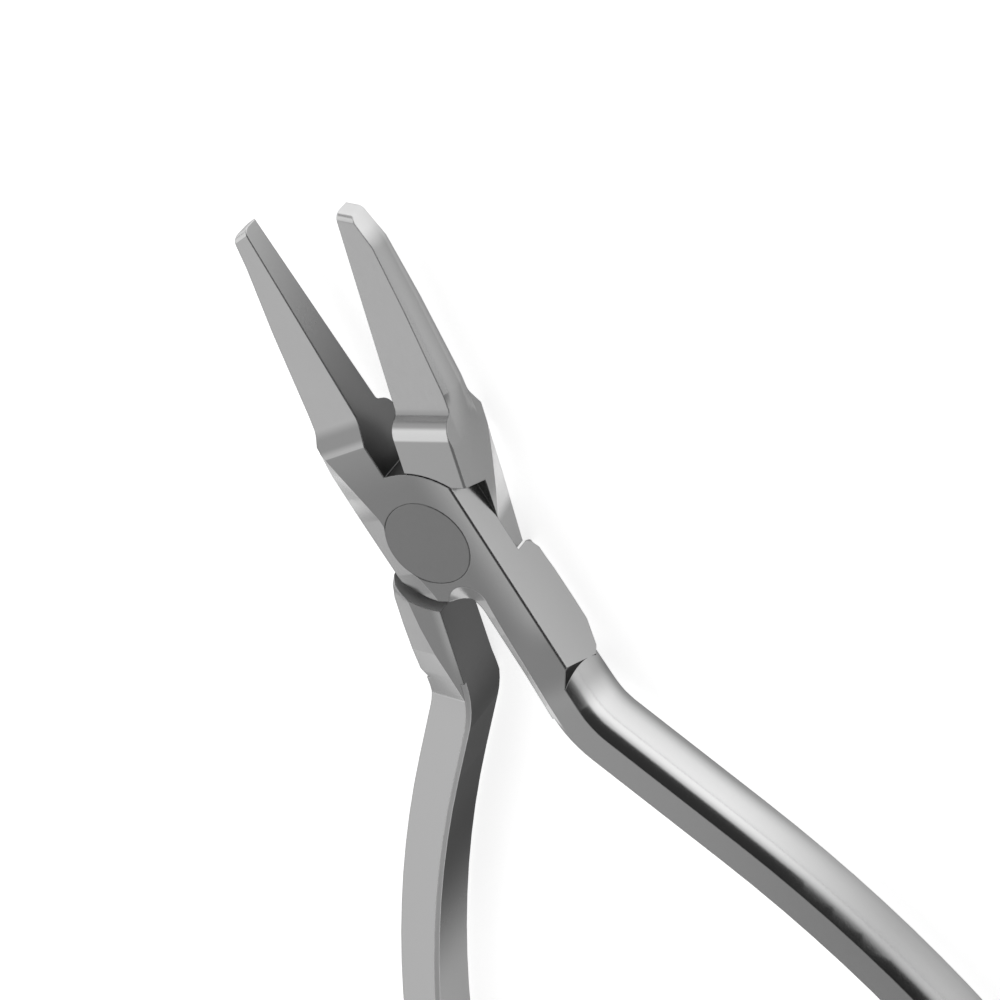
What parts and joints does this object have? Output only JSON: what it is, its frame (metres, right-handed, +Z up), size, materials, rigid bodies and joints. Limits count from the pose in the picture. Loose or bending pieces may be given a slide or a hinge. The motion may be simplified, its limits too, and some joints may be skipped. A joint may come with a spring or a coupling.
{
  "type": "orthodontic pliers",
  "caption": "Flat-beak orthodontic pliers with tapered beaks, a lapped joint held by a flush pivot screw, and bowed handles, for gripping and placing wire.",
  "frame": {"origin": "pivot axis at the plane the tool lies on, on the flush back end of the pivot screw", "axes": "+Z up out of the front cheek along the pivot axis, +Y along the opened tool to the beak tips, +X to the right seen from the front"},
  "size_m": [0.0774, 0.1295, 0.0062],
  "materials": {
    "lever_steel": "satin polished stainless steel",
    "screw_steel": "satin polished stainless steel, ground flush"
  },
  "bodies": {
    "rear_half": {"rear_lever": "lever_steel", "pivot_screw": "screw_steel"},
    "front_half": {"front_lever": "lever_steel"}
  },
  "joints": [
    {"name": "pivot", "type": "hinge", "parent": "rear_half", "child": "front_half", "pos_m": [0, 0, 0.0031], "axis": [0, 0, 1], "range_deg": [-17.5, 20]}
  ]
}
